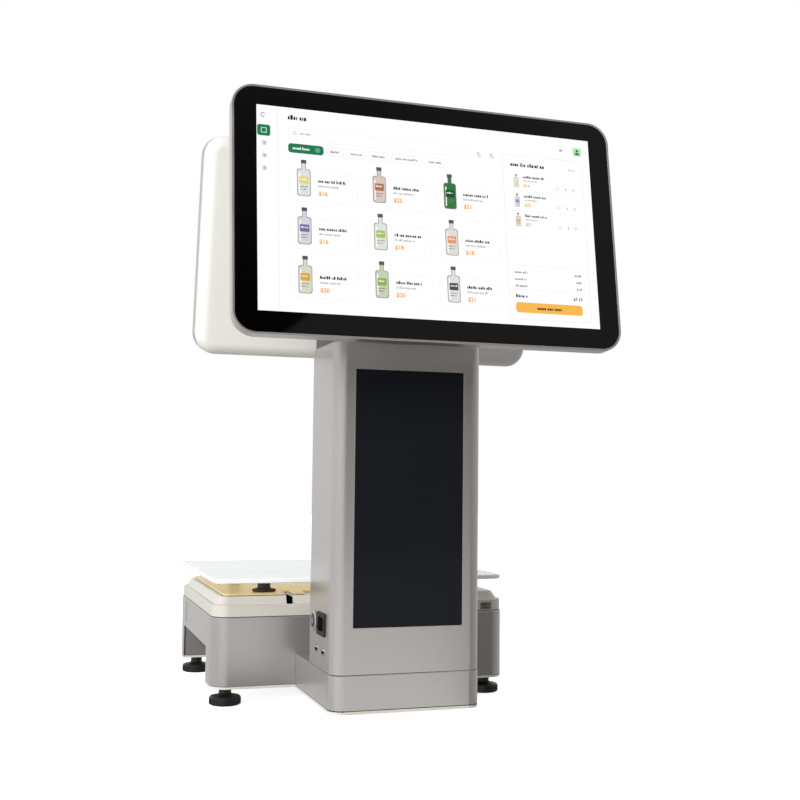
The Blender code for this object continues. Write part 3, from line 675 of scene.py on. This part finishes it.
def customerPicture():
    sheet = []
    spread = pageTall + picture["above"] + picture["below"]
    roundRect(sheet, 0, -picture["above"], pageWide, spread, 0, white, 0)
    roundRect(sheet, 19.8, -picture["above"], 0.35, spread, 0, line)
    arc(sheet, 6.2, 5.8, 2.3, 0.6, 40, 320, dark)
    roundRect(sheet, 0.5, 15.6, 12.5, 11.1, 2.2, green)
    outline(sheet, 4.2, 18.6, 5.2, 5.2, 0.7, white, green, 0.5, 2)
    for y in (33.8, 46.2, 58.7):
        arc(sheet, 7.3, y, 2.2, 0.45, 0, 360, grey)
        roundRect(sheet, 6.4, y - 0.9, 1.8, 1.8, 0.4, grey)
    words(sheet, 29.8, 3.2, 20.0, 4.8, dark)
    outline(sheet, 29.8, 16.0, 184.0, 11.6, 4.0, "#ececec", white)
    arc(sheet, 36.2, 20.9, 1.6, 0.4, 0, 360, grey, 3)
    roundRect(sheet, 37.2, 22.1, 1.2, 0.45, 0.2, grey, 3)
    words(sheet, 40.9, 19.9, 12.0, 2.2, faint)
    for x in (222.4, 236.0):
        for row in range(3):
            roundRect(sheet, x - 2.2, 21.2 + row * 1.8, 4.4, 0.4, 0.2, grey)
            disc(sheet, x - 1.0 + row * 1.0, 21.4 + row * 1.8, 0.6, grey, 2)
    roundRect(sheet, 29.8, 31.6, 34.2, 9.3, 3.0, green)
    words(sheet, 34.0, 34.8, 17.0, 2.6, white)
    disc(sheet, 58.2, 36.2, 2.5, "#5fa986", 2)
    for left, right in ((67.5, 83.5), (87.0, 105.0), (108.4, 128.0), (131.5, 162.2), (165.8, 186.7)):
        outline(sheet, left, 31.6, right - left, 9.3, 3.0, line, white)
        words(sheet, left + 3.4, 35.0, right - left - 6.4, 2.4, grey)
    accents = (
        ("#dfe3e0", "#e3d87a"), ("#d9c8bd", "#b07050"), ("#2f7a3c", "#1f4f2a"), ("#d5d6de", "#7a6aa0"),
        ("#dfe5da", "#a6c46a"), ("#e2dcd6", "#e79a72"), ("#dcd8c6", "#e2a53a"), ("#c6d0b4", "#8fb04a"),
        ("#dfe0e0", "#4a4b50"),
    )
    prices = ("$16", "$25", "$21", "$16", "$18", "$18", "$20", "$20", "$21")
    for row, (top, bottom) in enumerate(((58.2, 88.4), (105.3, 134.7), (152.4, 181.3))):
        for column, (left, right) in enumerate(((30.2, 96.4), (104.0, 168.9), (176.0, 240.9))):
            index = row * 3 + column
            outline(sheet, left, top, right - left, bottom - top, 4.5, "#ededed", white)
            bottle(sheet, left + 14.2, top - 11.1, 36.0, 13.2, *accents[index])
            words(sheet, left + 28.0, top + 7.1, 27.0, 3.0, dark)
            words(sheet, left + 28.0, top + 12.5, 21.0, 2.2, faint)
            number(sheet, prices[index], left + 28.0, top + 18.7, 4.2, price)
    outline(sheet, 247.6, 19.6, 88.0, 170.6, 5.0, line, white, 0.4)
    arc(sheet, 312.9, 9.0, 1.7, 0.4, 180, 360, grey)
    roundRect(sheet, 311.2, 9.0, 3.4, 1.4, 0.2, grey)
    roundRect(sheet, 326.2, 4.9, 9.8, 9.3, 2.0, paleGreen)
    disc(sheet, 331.1, 8.3, 1.5, green, 2)
    roundRect(sheet, 328.6, 10.3, 5.0, 2.4, 1.2, green, 2)
    words(sheet, 256.0, 27.6, 37.0, 4.0, dark)
    words(sheet, 320.0, 29.0, 8.0, 2.0, faint)
    for row, top in enumerate((38.6, 59.0, 79.4)):
        bottle(sheet, 261.6, top + 1.4, 13.8, 5.4, *accents[row * 3])
        words(sheet, 269.3, top + 2.3, 23.6, 2.6, dark)
        words(sheet, 269.3, top + 6.7, 15.0, 1.8, faint)
        number(sheet, prices[row], 269.3, top + 11.0, 3.2, price)
        for x in (306.9, 324.4):
            arc(sheet, x, top + 12.7, 1.7, 0.3, 0, 360, faint, 3)
            roundRect(sheet, x - 0.8, top + 12.55, 1.6, 0.3, 0.1, grey, 3)
        roundRect(sheet, 324.25, top + 11.9, 0.3, 1.6, 0.1, grey, 3)
        number(sheet, "1", 315.6, top + 11.3, 2.8, dark, 3, "middle")
        if row < 2:
            roundRect(sheet, 255.0, top + 19.0, 72.0, 0.3, 0, line, 3)
    roundRect(sheet, 254.7, 134.7, 72.4, 0.3, 0, line, 3)
    for y, amount in ((140.9, "62.00"), (148.0, "0.00"), (154.9, "5.10")):
        words(sheet, 254.7, y, 14.0, 2.3, grey)
        number(sheet, amount, 326.7, y, 2.3, dark, 3, "right")
    roundRect(sheet, 254.7, 159.6, 72.4, 0.3, 0, line, 3)
    words(sheet, 254.7, 164.7, 13.0, 3.2, dark)
    number(sheet, "67.10", 326.7, 164.7, 3.2, dark, 3, "right")
    roundRect(sheet, 254.2, 172.7, 72.0, 10.4, 3.0, orange, 3)
    words(sheet, 277.0, 176.4, 27.0, 3.2, dark, 4)
    return sheet


def operatorPicture():
    sheet = []
    roundRect(sheet, 0, 0, pageWide, pageTall, 0, "#f3f4f5", 0)
    roundRect(sheet, 0, 0, pageWide, 15.0, 0, green)
    words(sheet, 8.0, 5.4, 46.0, 4.2, white)
    number(sheet, "12:45", 334.0, 5.6, 4.0, white, 3, "right")
    roundRect(sheet, 8.0, 22.0, 190.0, 163.0, 4.0, white)
    for row in range(9):
        y = 29.0 + row * 15.0
        disc(sheet, 17.0, y + 2.2, 3.2, ("#d8c23a", "#c98a4e", "#b06fc0")[row % 3], 2)
        words(sheet, 25.0, y, 60.0, 3.4, dark)
        words(sheet, 25.0, y + 5.2, 40.0, 2.2, faint)
        number(sheet, str(1 + row % 3), 130.0, y + 0.6, 3.4, grey, 3, "middle")
        number(sheet, f"{14 + 3 * row}.50", 190.0, y + 0.6, 3.6, dark, 3, "right")
        roundRect(sheet, 12.0, y + 10.2, 182.0, 0.3, 0, line, 2)
    roundRect(sheet, 206.0, 22.0, 130.0, 28.0, 4.0, white)
    words(sheet, 213.0, 33.0, 20.0, 4.0, grey)
    number(sheet, "247.50", 328.0, 31.0, 9.0, dark, 3, "right")
    keys = ("7", "8", "9", "4", "5", "6", "1", "2", "3", "0", "00", ".")
    for index, key in enumerate(keys):
        x = 206.0 + (index % 3) * 44.0
        y = 56.0 + (index // 3) * 25.5
        outline(sheet, x, y, 41.6, 22.6, 3.0, line, white, 0.4)
        down, tall = (14.0, 1.2) if key == "." else (8.0, 7.0)
        number(sheet, key, x + 20.8, y + down, tall, dark, 3, "middle")
    roundRect(sheet, 206.0, 160.0, 129.6, 25.0, 4.0, orange, 1)
    words(sheet, 243.0, 170.0, 56.0, 5.0, dark)
    return sheet


screws = {"radius": 0.0022, "height": 0.0009, "slot": 0.0011}


def screwHead(spot, turn, slotName, body, name):
    # A low domed head with a cross recess.
    radius = screws["radius"]
    tall = screws["height"]
    head = newMesh(name, lathe((
        (0.0, tall), (radius * 0.5, tall * 0.96), (radius * 0.82, tall * 0.72), (radius, tall * 0.25),
        (radius, 0.0), (0.0, 0.0)), (0, 0, 0), steps=32), zincSteel)
    reach = (-screws["slot"], screws["slot"])
    thin = (reach[0] / 3.2, reach[1] / 3.2)
    deep = (tall * 0.45, tall * 2)
    carve(head, (block(reach, thin, deep), block(thin, reach, deep)))
    moveMesh(head, Matrix.Translation(spot) @ turn)
    return place(head, body, slotName)


# Displays. Each is drawn in its own frame: x to the right, z up, y from the cover glass inwards.
screens = {
    "front_display": {
        "tilt": math.radians(7.69), "turn": 0.0, "picture": customerPicture, "inset": 0.003,
        "pillow": 0.018},
    "rear_display": {
        "tilt": math.radians(12.7), "turn": math.pi, "picture": operatorPicture, "inset": 0.0003,
        "pillow": 0.013},
}
hinges = {joint["child"]: joint["pos_m"] for joint in frame["joints"] if "pos_m" in joint}
lip = {"width": 0.00205, "proud": 0.0003, "depth": 0.012, "corner": 0.022}
back = {"start": 0.0123, "end": 0.036, "wall": 0.0024}
coverGlass = {"gap": 0.0002, "thick": 0.003}
armScrews = {"across": (-0.036, 0.036), "up": (-0.016, 0.046), "in": 0.0393}
for screen, given in screens.items():
    low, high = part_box(screen + "_frame")
    rise = high.z - low.z - (lip["depth"] + lip["proud"]) * math.sin(given["tilt"])
    tall = rise / math.cos(given["tilt"])
    wide = high.x - low.x
    lean = Matrix.Rotation(given["turn"], 4, "Z") @ Matrix.Rotation(-given["tilt"], 4, "X")
    middle = (low + high) / 2 - lean @ Vector((0, (lip["depth"] - lip["proud"]) / 2, 0))
    stand = Matrix.Translation(middle) @ lean
    body = bodyOf[screen + "_frame"]

    def slab(inset, span, corner, **more):
        return block(
            (inset - wide / 2, wide / 2 - inset), span, (inset - tall / 2, tall / 2 - inset), corner,
            along="Y", steps=16, **more)

    rim = newMesh(screen + "Lip", slab(0.0, (-lip["proud"], lip["depth"]), lip["corner"]), anodised)
    carve(rim, [slab(lip["width"], (-0.01, 0.03), lip["corner"] - lip["width"])], 0.0004)
    place(moveMesh(rim, stand), body, slotOf[screen + "_frame"], (screen + "_frame",))
    inset = lip["width"] + coverGlass["gap"]
    glass = newMesh(
        screen + "CoverGlass", slab(
            inset, (0.0, coverGlass["thick"]), lip["corner"] - inset, soft=0.0003, sides=("-Y",),
            softSteps=2), blackGlass)
    place(moveMesh(shade(glass), stand), body, slotOf[screen + "_glass"], (screen + "_glass",))
    shell = newMesh(screen + "BackShell", slab(
        given["inset"], (back["start"], back["end"]), lip["corner"] - given["inset"],
        soft=given["pillow"], sides=("+Y",), softSteps=10), whitePlastic)
    hollow = slab(
        given["inset"] + back["wall"], (0.0, back["end"] - back["wall"]),
        lip["corner"] - given["inset"] - back["wall"], soft=given["pillow"] - back["wall"],
        sides=("+Y",), softSteps=8)
    carve(shell, [hollow])
    place(moveMesh(shell, stand), body, slotOf[screen + "_back_cover"], (screen + "_back_cover",))
    shown = sheetMesh(screen + "Picture", given["picture"](), litPicture, picture["lift"])
    moveMesh(shown, stand @ Matrix.Translation((-picture["width"] / 2, 0, picture["height"] / 2)))
    place(shown, body, slotOf[screen + "_glass"])
    axis = stand.inverted() @ Vector(hinges[screen])
    for across in armScrews["across"]:
        for up in armScrews["up"]:
            screwHead(
                stand @ Vector((across, armScrews["in"], axis.z + up)),
                lean @ Matrix.Rotation(-math.pi / 2, 4, "X"),
                slotOf[screen + "_arm"], body, screen + "ArmScrew")
print("displays made")

# Window trim: a thin painted ring round the column's glass.
trim = {"width": 0.0010, "depth": 0.0012, "corner": 0.0008, "inset": 0.0035, "lap": 0.0002}
low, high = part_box("column_glass")
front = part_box("column_shell")[0].y
sideX = (low.x + trim["inset"], high.x - trim["inset"])
sideZ = (low.z + trim["inset"], high.z - trim["inset"])
ring = newMesh("windowTrim", block(
    (sideX[0] - trim["width"], sideX[1] + trim["width"]), (front - 0.00008, front + trim["depth"]),
    (sideZ[0] - trim["width"], sideZ[1] + trim["width"]), trim["corner"] * 2, along="Y", steps=6),
    silverPaint)
carve(ring, [block(
    (sideX[0] + trim["lap"], sideX[1] - trim["lap"]), (front - 0.01, front + 0.01),
    (sideZ[0] + trim["lap"], sideZ[1] - trim["lap"]), trim["corner"], along="Y", steps=6)], 0.0002)
place(ring, bodyOf["column_glass"], slotOf["column_shell"])

# Sockets on the column's left side: inlet pins, tongues and the mark on the button.
inlet = {"pinHalf": (0.0010, 0.0020), "pinRun": (0.0050, 0.0180), "spread": 0.0065, "low": -0.0012,
         "high": 0.0022}
usb = {"tongueHalf": 0.0054, "tongueRun": (0.0010, 0.0124), "contactRun": (0.0018, 0.0120), "pitch": 0.0024,
       "contacts": 4}
low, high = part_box("power_inlet")
middle = (low + high) / 2
halfWide, halfTall = inlet["pinHalf"]
for shift, rise in ((-inlet["spread"], inlet["low"]), (0.0, inlet["high"]), (inlet["spread"], inlet["low"])):
    y, z = middle.y + shift, middle.z + rise
    pin = newMesh("inletPin", block(
        tuple(low.x + run for run in inlet["pinRun"]), (y - halfWide, y + halfWide),
        (z - halfTall, z + halfTall), 0.0004, along="X", steps=3, soft=0.0005, sides=("-X",)), brass)
    place(shade(pin), bodyOf["power_inlet"], slotOf["usb_socket_front"])
for node in ("usb_socket_front", "usb_socket_rear"):
    low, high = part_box(node)
    middle = (low + high) / 2
    tongue = newMesh(node + "Tongue", block(
        tuple(low.x + run for run in usb["tongueRun"]),
        (middle.y - usb["tongueHalf"], middle.y + usb["tongueHalf"]),
        (middle.z + 0.0002, middle.z + 0.0019), 0.0003, along="X", steps=2, soft=0.0004, sides=("-X",)),
        whitePlastic)
    place(shade(tongue), bodyOf[node], slotOf["power_inlet"])
    for index in range(usb["contacts"]):
        y = middle.y + (index - (usb["contacts"] - 1) / 2) * usb["pitch"]
        contact = newMesh(node + "Contact", block(
            tuple(low.x + run for run in usb["contactRun"]), (y - 0.0005, y + 0.0005),
            (middle.z + 0.00005, middle.z + 0.0003), 0.0001, along="X", steps=1), brass)
        place(shade(contact), bodyOf[node], slotOf[node])
low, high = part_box("power_button")
mark = []
arc(mark, 0, 0, 2.6, 0.5, -60, 240, "#dfe2e6", 1)
roundRect(mark, -0.25, -3.2, 0.5, 2.6, 0.2, "#dfe2e6", 1)
sign = sheetMesh("powerMark", mark, padPrint, 0.0)
moveMesh(sign, Matrix.Translation((low.x, (low.y + high.y) / 2, (low.z + high.z) / 2))
         @ Matrix.Rotation(-math.pi / 2, 4, "Z"))
place(sign, bodyOf["power_button"], slotOf["power_button"])

# Rating label on the cover's band.
label = {"width": 0.0135, "height": 0.0086, "fromRight": 0.0300, "top": 0.0093, "rows": 2}
low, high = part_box("scale_cover")
rating = []
wide, tall = label["width"] * 1000, label["height"] * 1000
roundRect(rating, 0, 0, wide, tall, 0.6, "#85867a", 1)
for row in range(label["rows"]):
    words(rating, 1.0, 1.0 + row * 3.6, wide - 2.2, 2.9, "#1b1b20", 2)
plate = sheetMesh("ratingLabel", rating, padPrint, 0.00002)
moveMesh(plate, Matrix.Translation((high.x - label["fromRight"], low.y, low.z + label["top"])))
place(plate, bodyOf["scale_cover"], slotOf["pedestal_plate"])

# Service door: a raised bezel round the paper slot with a row of tear teeth, and four screws.
slotHole = {"up": 0.1408, "halfWide": 0.0430, "halfTall": 0.0017, "edge": 0.0040}
teeth = {"count": 40, "span": 0.0840, "block": (0.0011, 0.0008, 0.0009)}
doorScrews = {"across": 0.0500, "up": 0.0130}
low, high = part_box("service_door")
rear = low.y + doorSheet
slotZ = low.z + slotHole["up"]
bezel = newMesh("slotBezel", block(
    (-slotHole["halfWide"] - slotHole["edge"], slotHole["halfWide"] + slotHole["edge"]),
    (rear - 0.0004, rear + 0.0011), (slotZ - 0.0052, slotZ + 0.0052), 0.0030,
    along="Y", steps=8, soft=0.0006, sides=("+Y",)), slatePlastic)
carve(bezel, [block(
    (-slotHole["halfWide"], slotHole["halfWide"]), (rear - 0.01, rear + 0.01),
    (slotZ - slotHole["halfTall"], slotZ + slotHole["halfTall"]), 0.0008, along="Y", steps=4)], 0.0002)
place(bezel, bodyOf["service_door"], slotOf["door_latch"])
bar = repeated(
    "tearTeeth", rowTree, teeth["count"], teeth["span"] / (teeth["count"] - 1), teeth["block"], zincSteel)
moveMesh(bar, Matrix.Translation((-teeth["span"] / 2, rear + 0.0004, slotZ + 0.0013)))
place(shade(bar, 0.0001), bodyOf["service_door"], slotOf["print_head"])
refine("door_latch", slatePlastic, 0.0003)
low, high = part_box("door_latch")
middle = (low + high) / 2
grip = newMesh("latchGrip", block(
    (middle.x - 0.0042, middle.x + 0.0042), (high.y - 0.0004, high.y + 0.0005),
    (middle.z - 0.0009, middle.z + 0.0009), 0.0008, along="Y", steps=5, soft=0.0003, sides=("+Y",)),
    slatePlastic)
place(shade(grip), bodyOf["door_latch"], slotOf["door_latch"])
for x in (-doorScrews["across"], doorScrews["across"]):
    for z in (slotZ - doorScrews["up"], slotZ + doorScrews["up"]):
        screwHead(
            Vector((x, rear, z)), Matrix.Rotation(-math.pi / 2, 4, "X"), slotOf["door_pin"],
            bodyOf["service_door"], "doorScrew")

# Inner faces of the housing's legs, seen through the arch.
arch = {"front": 0.0437, "rear": 0.2317, "tall": 0.0386, "sheet": 0.0020, "clear": 0.0004, "lift": 0.0001}
low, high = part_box("scale_housing")
for name, leg in (("archLiningFront", "front"), ("archLiningRear", "rear")):
    y = low.y + arch[leg]
    lining = newMesh(name, block(
        (low.x + arch["clear"], high.x - arch["clear"]), (y - arch["sheet"], y),
        (low.z + arch["lift"], low.z + arch["tall"]), 0.0008, along="Z", steps=3), silverPaint)
    place(shade(lining), bodyOf["scale_housing"], slotOf["scale_housing"])
print("trim, sockets, label and door details made")

# Studio: a white floor under a soft room that is dark in front, and two lights at the front left.
studio = {
    "floorGlow": 0.72, "left": 0.9, "right": 0.5, "front": 0.16, "frontLeft": 0.8, "back": 0.95,
    "below": 0.55, "glare": 0.26, "bounce": 1.1, "floorHalf": 6.0,
}
lamps = {
    "key": {"size": 1.1, "power": 30.0, "spot": (-1.5, -1.6, 1.25), "aim": (0.0, 0.0, 0.3)},
    "fill": {"size": 0.8, "power": 7.0, "spot": (-1.1, -0.85, 0.30), "aim": (-0.10, -0.02, 0.06)},
}
# Floor: matt white studio paint, lit a little from itself so that it stays pale.
floorPaint = makeMaterial("studioFloor", "#fbfbfb", "#ffffff", 0.0, (0.8, 0.9), 3.0, 0.0, wear=200)
floorShader = floorPaint.node_tree.nodes["Principled BSDF"]
floorShader.inputs["Emission Color"].default_value = linear("#ffffff")
floorShader.inputs["Emission Strength"].default_value = studio["floorGlow"]
reach = (-studio["floorHalf"], studio["floorHalf"])
floor = newMesh("floor", block(reach, reach, (floorZ - 0.02, floorZ)), floorPaint)
floor.visible_glossy = False
floor.visible_diffuse = False

# The room's strength depends on the direction, and is white where the camera sees it.
room = bpy.data.worlds.new("room")
room.use_nodes = True
bpy.context.scene.world = room
tree = room.node_tree
backdrop = tree.nodes["Background"]
paths = addNode(tree, "ShaderNodeLightPath")
where = addNode(tree, "ShaderNodeTexCoord")
parts = addNode(tree, "ShaderNodeSeparateXYZ", {}, {"Vector": where.outputs["Generated"]})
ramps = {}
for name, axis, curve, start, end, first, last in (
    ("behind", "Y", "SMOOTHSTEP", -0.55, 0.35, 0.0, 1.0),
    ("side", "X", "SMOOTHSTEP", -0.7, 0.7, studio["left"], studio["right"]),
    ("rear", "X", "LINEAR", -1.0, 1.0, studio["back"], studio["back"] * 0.85),
    ("facing", "Y", "SMOOTHSTEP", -0.95, -0.5, 0.0, 1.0),
    ("front", "Z", "SMOOTHSTEP", -0.05, 0.28, studio["front"], 0.0),
    ("frontLeft", "X", "SMOOTHSTEP", -0.3, 0.05, studio["frontLeft"], 0.0),
    ("below", "Z", "SMOOTHSTEP", -0.6, 0.25, studio["below"], 1.0),
):
    ramps[name] = addNode(
        tree, "ShaderNodeMapRange",
        {"interpolation_type": curve, "From Min": start, "From Max": end, "To Min": first, "To Max": last},
        {"Value": parts.outputs[axis]}).outputs["Result"]
sideOrRear = addNode(
    tree, "ShaderNodeMix", {"data_type": "FLOAT"}, {0: ramps["behind"], 2: ramps["side"], 3: ramps["rear"]})
frontBoth = addNode(
    tree, "ShaderNodeMath", {"operation": "ADD"}, {0: ramps["front"], 1: ramps["frontLeft"]})
allRound = addNode(
    tree, "ShaderNodeMix", {"data_type": "FLOAT"},
    {0: ramps["facing"], 2: frontBoth.outputs["Value"], 3: sideOrRear.outputs[0]})
level = addNode(
    tree, "ShaderNodeMath", {"operation": "MULTIPLY"}, {0: allRound.outputs[0], 1: ramps["below"]})
seen = addNode(
    tree, "ShaderNodeMix", {"data_type": "FLOAT", 3: 1.0},
    {0: paths.outputs["Is Camera Ray"], 2: level.outputs["Value"]})
tree.links.new(seen.outputs[0], backdrop.inputs["Strength"])
backdrop.inputs["Color"].default_value = (1.0, 1.0, 1.0, 1.0)


def card(name, points, strength):
    # A flat light card that only shows in reflections.
    solid = bmesh.new()
    solid.faces.new([solid.verts.new(point) for point in points])
    glow = bpy.data.materials.new(name)
    glow.use_nodes = True
    shader = glow.node_tree.nodes["Principled BSDF"]
    shader.inputs["Base Color"].default_value = (0.0, 0.0, 0.0, 1.0)
    shader.inputs["Specular IOR Level"].default_value = 0.0
    shader.inputs["Emission Color"].default_value = (1.0, 1.0, 1.0, 1.0)
    shader.inputs["Emission Strength"].default_value = strength
    item = newMesh(name, solid, glow)
    item.visible_camera = item.visible_diffuse = item.visible_shadow = False
    item.visible_transmission = False


for name, lampLook in lamps.items():
    lamp = bpy.data.lights.new(name, "AREA")
    lamp.shape = "DISK"
    lamp.size = lampLook["size"]
    lamp.energy = lampLook["power"]
    holder = bpy.data.objects.new(name, lamp)
    bpy.context.scene.collection.objects.link(holder)
    holder.visible_glossy = False
    holder.location = lampLook["spot"]
    holder.rotation_euler = (Vector(lampLook["aim"]) - holder.location).to_track_quat("-Z", "Y").to_euler()

# Camera: low, to the left of the kiosk, looking slightly up. Its angles are in degrees.
shot = {
    "place": (-0.3645, -1.261762, 0.23149), "yaw": 18.06, "pitch": 3.88, "roll": 0.61,
    "lens": 51.14, "sensor": 36.0,
}
yaw, pitch, roll = (math.radians(shot[a]) for a in ("yaw", "pitch", "roll"))
ahead = Vector((math.sin(yaw) * math.cos(pitch), math.cos(yaw) * math.cos(pitch), math.sin(pitch)))
right = Vector((math.cos(yaw), -math.sin(yaw), 0))
up = right.cross(ahead)
across = right * math.cos(roll) + up * math.sin(roll)
upright = up * math.cos(roll) - right * math.sin(roll)
lens = bpy.data.cameras.new("camera")
lens.lens = shot["lens"]
lens.sensor_width = shot["sensor"]
camera = bpy.data.objects.new("camera", lens)
bpy.context.scene.collection.objects.link(camera)
pose = Matrix((across, upright, -ahead)).transposed().to_4x4()
pose.translation = Vector(shot["place"]) + Vector((0, 0, standLift))
camera.matrix_world = pose
bpy.context.scene.camera = camera
bpy.context.scene.view_settings.view_transform = "Standard"

# Reflection cards: one lies in front of the kiosk, one is seen in the right part of the display's
# glass, where a slanted edge ends it. Its outline is cast from the mirrored camera through the glass.
bounceEdge = ((-0.6, -0.21), (-1.0, -2.4), (1.0, -2.4), (0.37, -0.9), (0.08, -0.21))
glareEdge = ((-0.199, -0.16), (0.26, -0.16), (0.26, 0.16), (0.194, 0.16))
glareFar = 2.4
card("bounceCard", [(x, y, 0.001) for x, y in bounceEdge], studio["bounce"])
low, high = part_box("front_display_glass")
lean = Matrix.Rotation(-screens["front_display"]["tilt"], 4, "X")
centre = (low + high) / 2
outwards = lean.to_3x3() @ Vector((0, -1, 0))
eye = Vector(camera.matrix_world.translation)
mirrored = eye - 2 * (eye - centre).dot(outwards) * outwards
cast = []
for x, z in glareEdge:
    seenAt = centre + lean.to_3x3() @ Vector((x, 0, z))
    cast.append(mirrored + (seenAt - mirrored) * glareFar)
card("glareCard", cast, studio["glare"])
print("studio and camera made")
